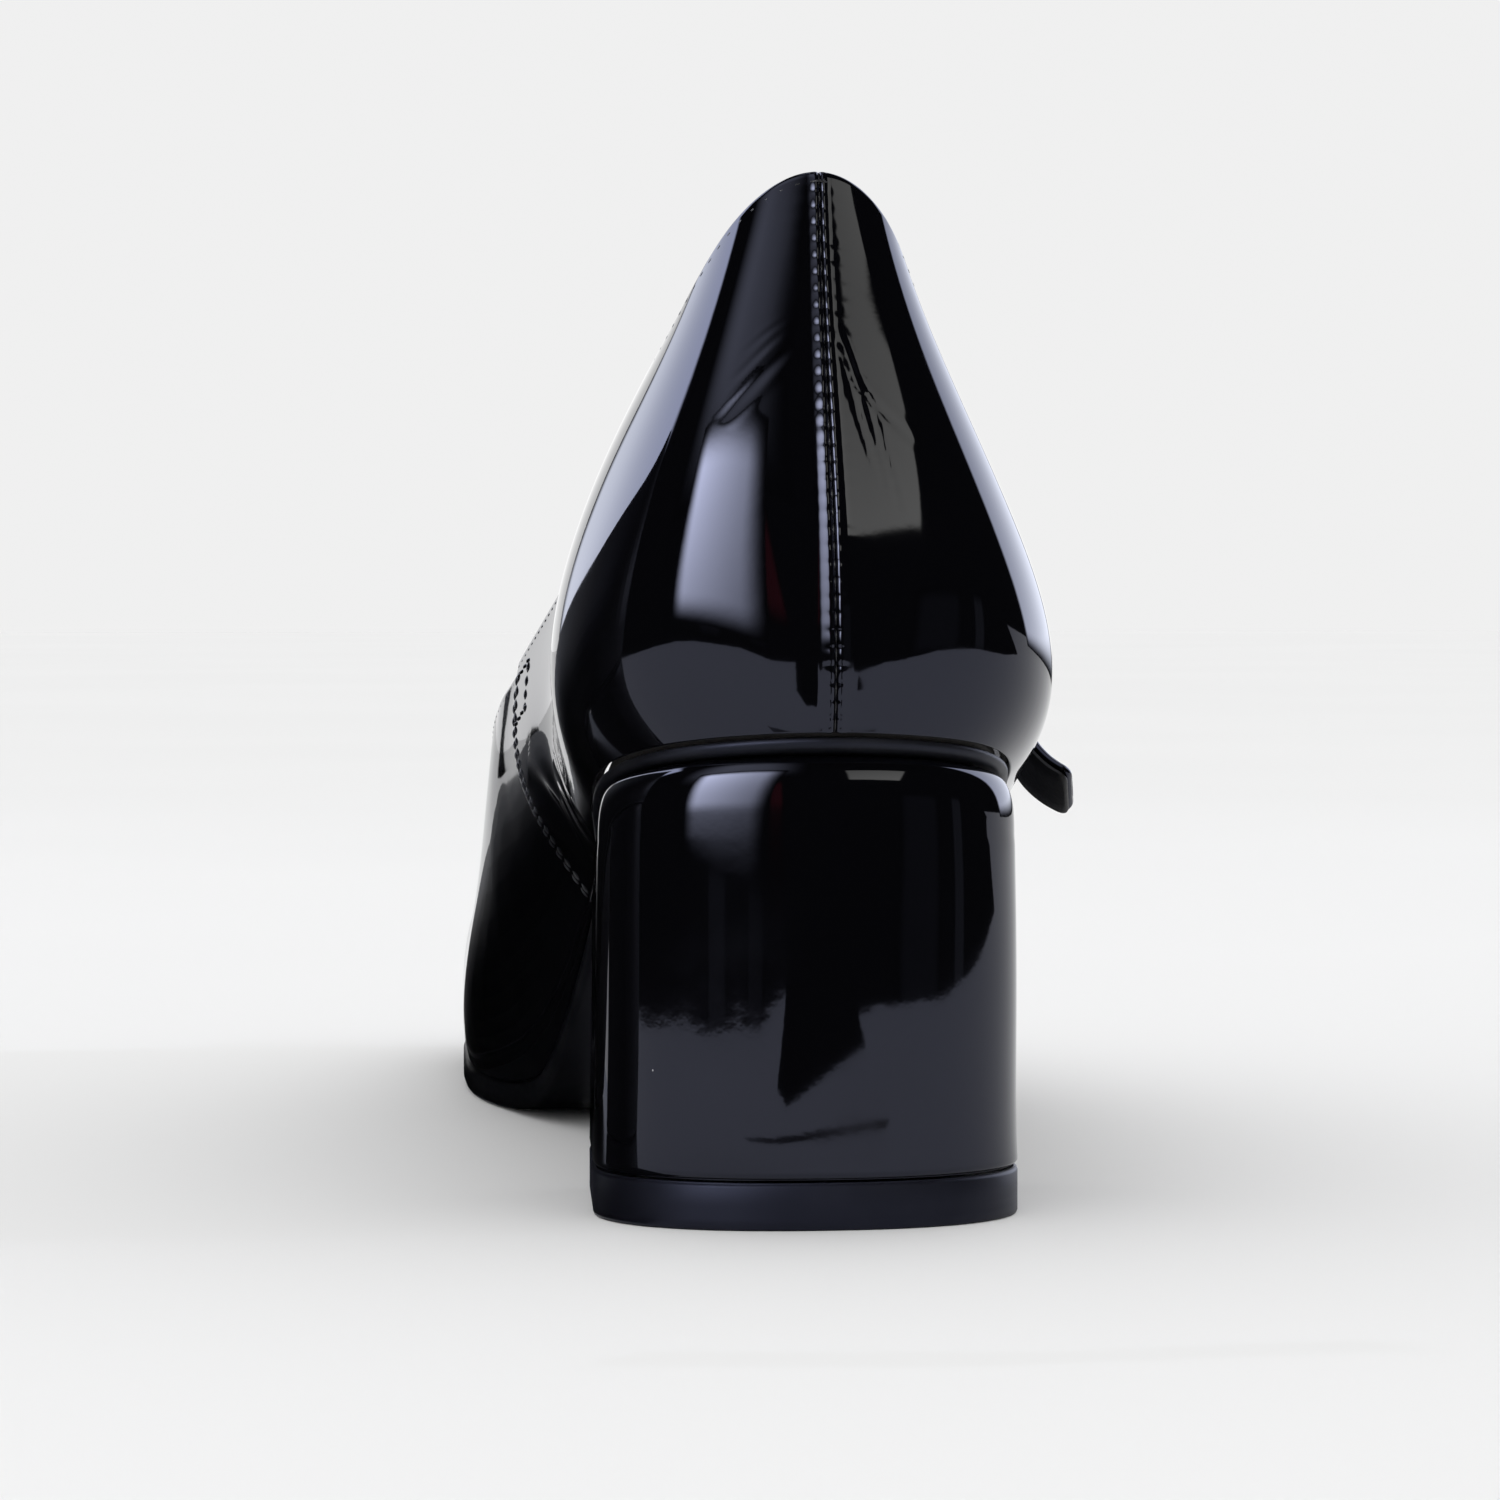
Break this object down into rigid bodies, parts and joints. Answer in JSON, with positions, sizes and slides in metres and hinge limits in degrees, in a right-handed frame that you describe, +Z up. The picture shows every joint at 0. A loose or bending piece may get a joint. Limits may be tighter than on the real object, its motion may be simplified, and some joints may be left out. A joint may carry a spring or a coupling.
{
  "type": "mary jane pump",
  "caption": "Right patent leather mary jane pump: hollow upper on a covered block heel, thin sole, buckled instep strap with a loose tip.",
  "frame": {"origin": "middle of the top lift's ground face, on the floor", "axes": "+Y from the heel to the toe, +Z up, +X to the outer (lateral) side of this right shoe"},
  "size_m": [0.0805, 0.2356, 0.1233],
  "materials": {
    "patent": "black patent, mirror gloss",
    "heel_cover": "black patent cover, mirror gloss",
    "strap": "black patent with dull cut edges",
    "lining": "matte lining",
    "sole": "satin edge",
    "lift": "satin",
    "buckle": "polished"
  },
  "bodies": {
    "root": {"upper": "patent", "insole": "lining", "outsole": "sole", "heel": "heel_cover", "top_lift": "lift", "strap": "strap", "buckle_tab": "strap", "buckle_frame": "buckle", "buckle_prong": "buckle"}
  },
  "joints": []
}
